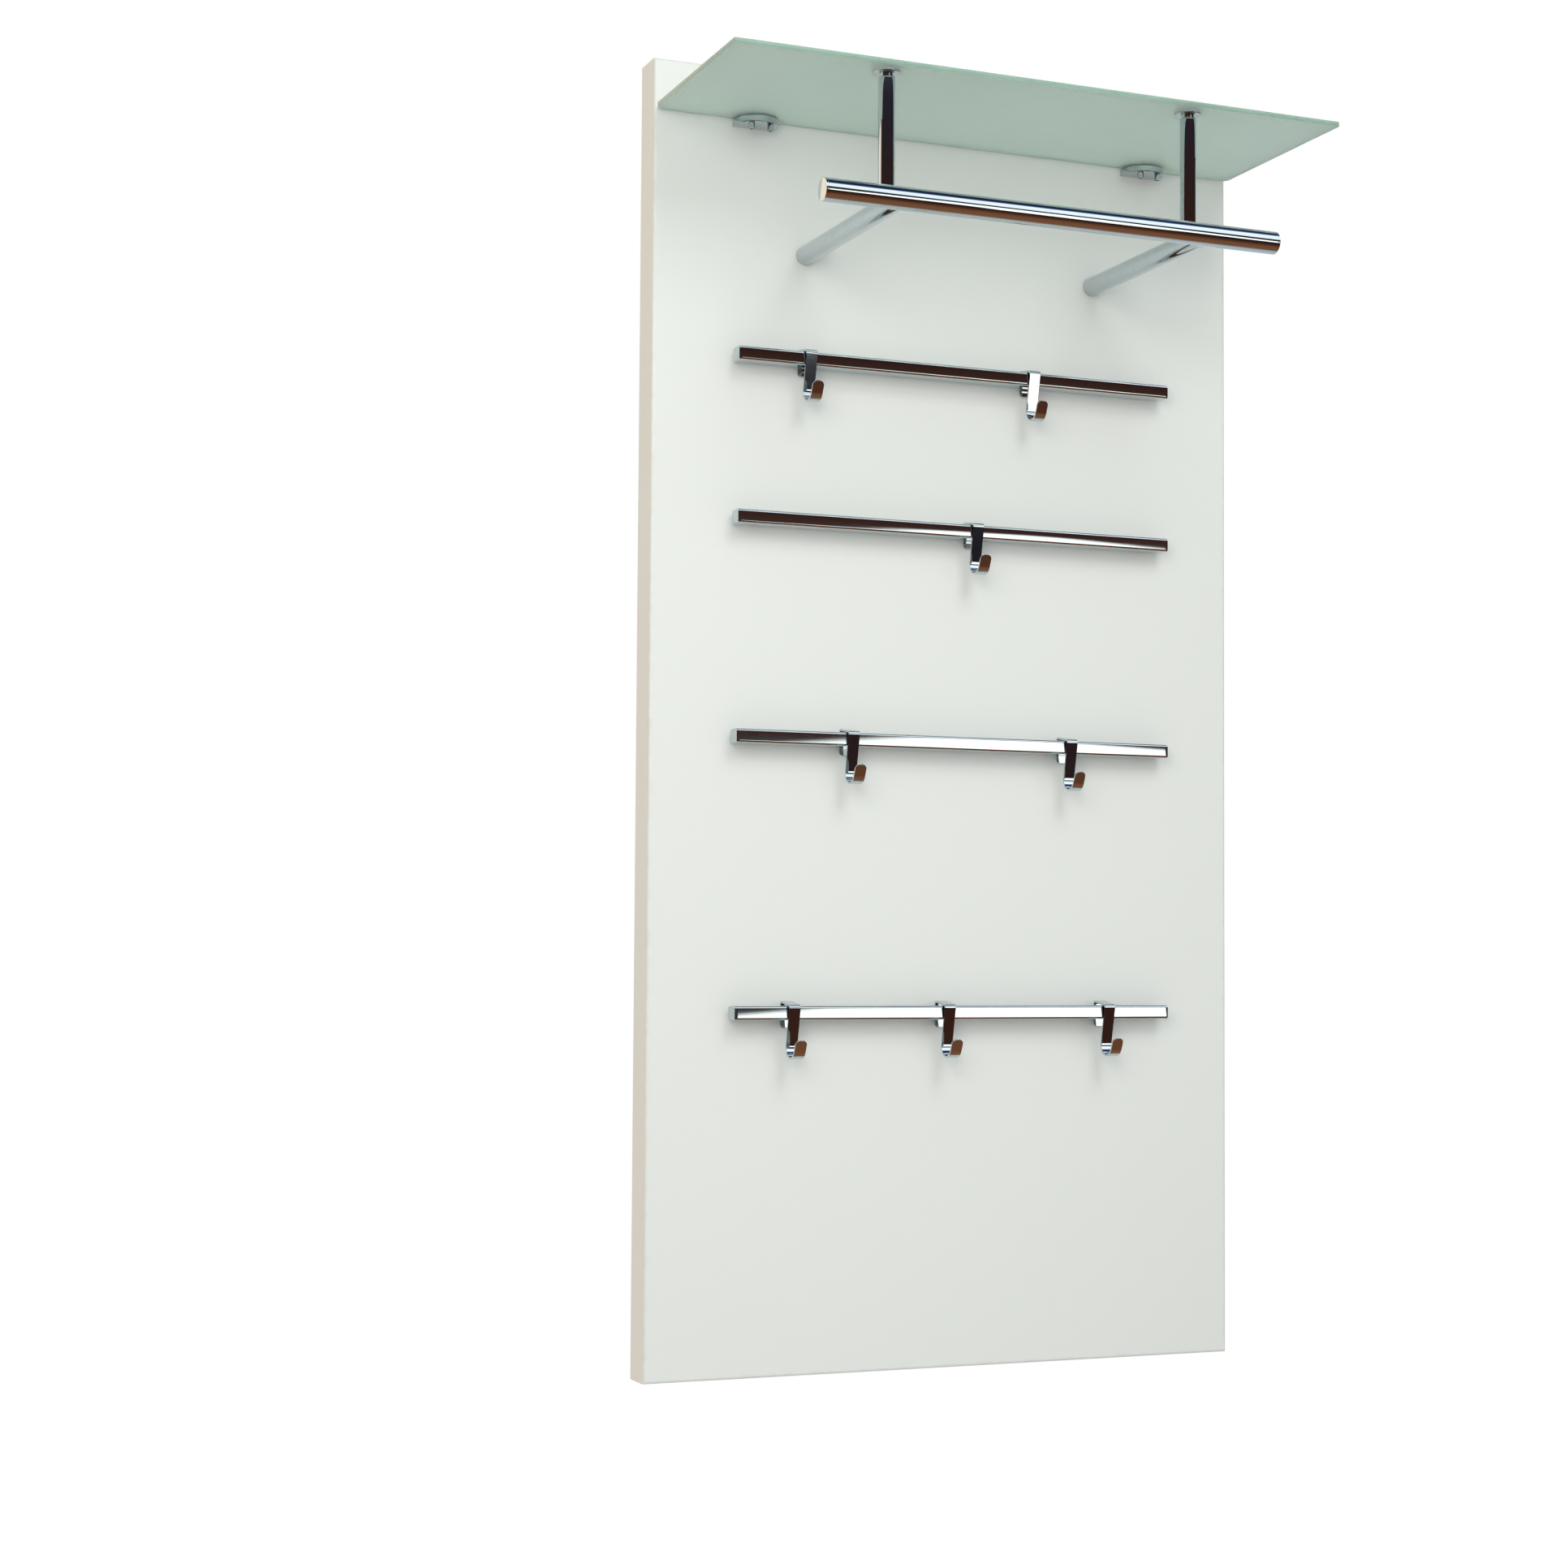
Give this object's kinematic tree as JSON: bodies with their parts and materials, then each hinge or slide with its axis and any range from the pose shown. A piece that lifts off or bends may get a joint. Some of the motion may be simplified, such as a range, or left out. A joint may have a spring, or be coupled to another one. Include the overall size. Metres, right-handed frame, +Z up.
{
  "type": "wall hook rack",
  "caption": "White wall board with a frosted glass shelf, a chrome hanging tube on arms and posts, and chrome rails that carry sliding hooks.",
  "frame": {"origin": "midway between the centres of the two keyhole entries, on the back face that lies against the wall", "axes": "+X to the right as seen from the front, +Y into the wall, +Z up; the front faces -Y"},
  "size_m": [0.65, 0.279, 1.3],
  "materials": {
    "board": "white satin lacquer",
    "frosted_glass": "satin etched, green tint",
    "chrome": "polished",
    "hook_chrome": "polished",
    "clear_pad": "clear soft",
    "zinc_steel": "zinc plated"
  },
  "bodies": {
    "root": {"arm_bolts": "zinc_steel", "arm_front_plug_left": "zinc_steel", "arm_front_plug_right": "zinc_steel", "arm_left": "chrome", "arm_right": "chrome", "arm_wall_plug_left": "zinc_steel", "arm_wall_plug_right": "zinc_steel", "arm_washers": "zinc_steel", "bar_cap_left": "chrome", "bar_cap_right": "chrome", "bar_inserts": "zinc_steel", "bar_studs": "zinc_steel", "clamp_body_left": "chrome", "clamp_body_right": "chrome", "clamp_bolts": "zinc_steel", "clamp_pads_left": "clear_pad", "clamp_pads_right": "clear_pad", "clamp_screws_left": "chrome", "clamp_screws_right": "chrome", "hanging_plate_left": "zinc_steel", "hanging_plate_right": "zinc_steel", "hanging_plate_screws": "zinc_steel", "hanging_tube": "chrome", "panel": "board", "post_foot_left": "zinc_steel", "post_foot_right": "zinc_steel", "post_head_left": "chrome", "post_head_right": "chrome", "post_left": "chrome", "post_pad_left": "clear_pad", "post_pad_right": "clear_pad", "post_right": "chrome", "post_studs": "zinc_steel", "rail_1": "chrome", "rail_2": "chrome", "rail_3": "chrome", "rail_4": "chrome", "rail_cap_1_left": "chrome", "rail_cap_1_right": "chrome", "rail_cap_2_left": "chrome", "rail_cap_2_right": "chrome", "rail_cap_3_left": "chrome", "rail_cap_3_right": "chrome", "rail_cap_4_left": "chrome", "rail_cap_4_right": "chrome", "rail_inserts": "zinc_steel", "rail_screws": "zinc_steel", "rail_spacers": "zinc_steel", "shelf_glass": "frosted_glass"},
    "slider_1a": {"hook_1a": "hook_chrome"},
    "slider_1b": {"hook_1b": "hook_chrome"},
    "slider_2a": {"hook_2a": "hook_chrome"},
    "slider_3a": {"hook_3a": "hook_chrome"},
    "slider_3b": {"hook_3b": "hook_chrome"},
    "slider_4a": {"hook_4a": "hook_chrome"},
    "slider_4b": {"hook_4b": "hook_chrome"},
    "slider_4c": {"hook_4c": "hook_chrome"}
  },
  "joints": [
    {"name": "hook_1a_slide", "type": "slide", "parent": "root", "child": "slider_1a", "axis": [1, 0, 0], "range_m": [-0.039, 0.118]},
    {"name": "hook_1b_slide", "type": "slide", "parent": "root", "child": "slider_1b", "axis": [1, 0, 0], "range_m": [-0.118, 0.122]},
    {"name": "hook_2a_slide", "type": "slide", "parent": "root", "child": "slider_2a", "axis": [1, 0, 0], "range_m": [-0.224, 0.186]},
    {"name": "hook_3a_slide", "type": "slide", "parent": "root", "child": "slider_3a", "axis": [1, 0, 0], "range_m": [-0.087, 0.116]},
    {"name": "hook_3b_slide", "type": "slide", "parent": "root", "child": "slider_3b", "axis": [1, 0, 0], "range_m": [-0.116, 0.078]},
    {"name": "hook_4a_slide", "type": "slide", "parent": "root", "child": "slider_4a", "axis": [1, 0, 0], "range_m": [-0.025, 0.078]},
    {"name": "hook_4b_slide", "type": "slide", "parent": "root", "child": "slider_4b", "axis": [1, 0, 0], "range_m": [-0.078, 0.0845]},
    {"name": "hook_4c_slide", "type": "slide", "parent": "root", "child": "slider_4c", "axis": [1, 0, 0], "range_m": [-0.0845, 0.034]}
  ]
}
